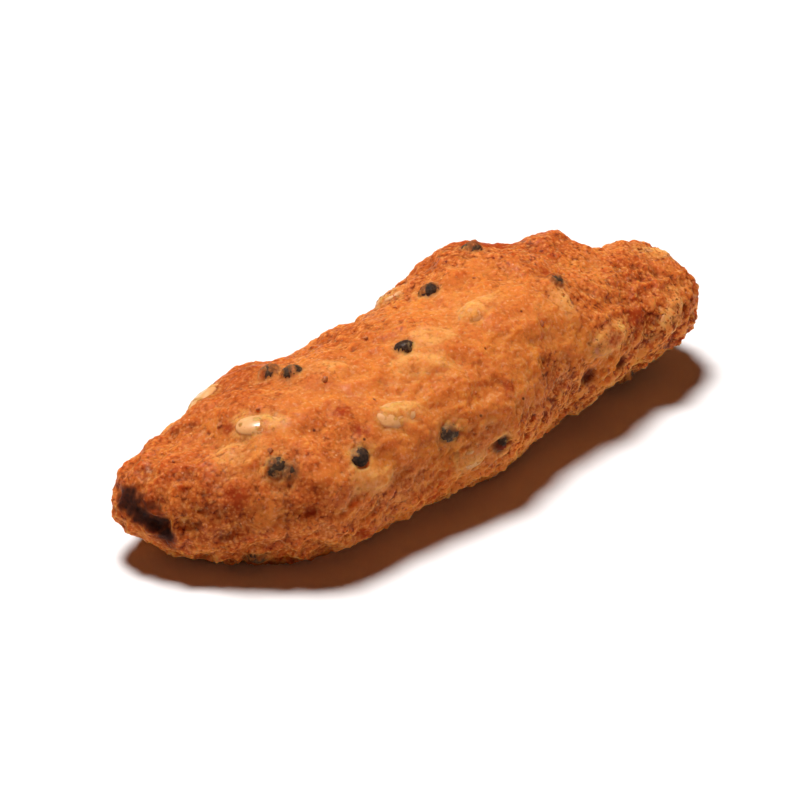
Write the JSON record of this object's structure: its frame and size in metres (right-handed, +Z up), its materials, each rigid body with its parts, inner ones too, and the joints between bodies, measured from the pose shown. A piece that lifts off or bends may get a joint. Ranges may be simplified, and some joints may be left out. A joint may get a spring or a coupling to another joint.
{
  "type": "sesame stick",
  "caption": "Fried snack stick of seeded dough: a bent, flattened, craggy roll with sesame and poppy seeds set in its crust, one end scorched.",
  "frame": {"origin": "under the middle of the stick's bounding box, on the surface that it lies on", "axes": "+X along the stick from its scorched end to its ragged end, +Y across it, away from the side with the big toasted seed, +Z up"},
  "size_m": [0.0455, 0.0187, 0.0115],
  "materials": {
    "fried_crust": "fried dough, golden orange to red-brown, finely grainy with a thin film of oil",
    "sesame_seed": "hulled sesame, cream, slightly glossy",
    "poppy_seed": "blue-grey to black poppy seed, matt",
    "onion_flake": "yellow flake in the crust, slightly see-through"
  },
  "bodies": {
    "root": {"sesame_stick": "fried_crust"}
  },
  "joints": []
}
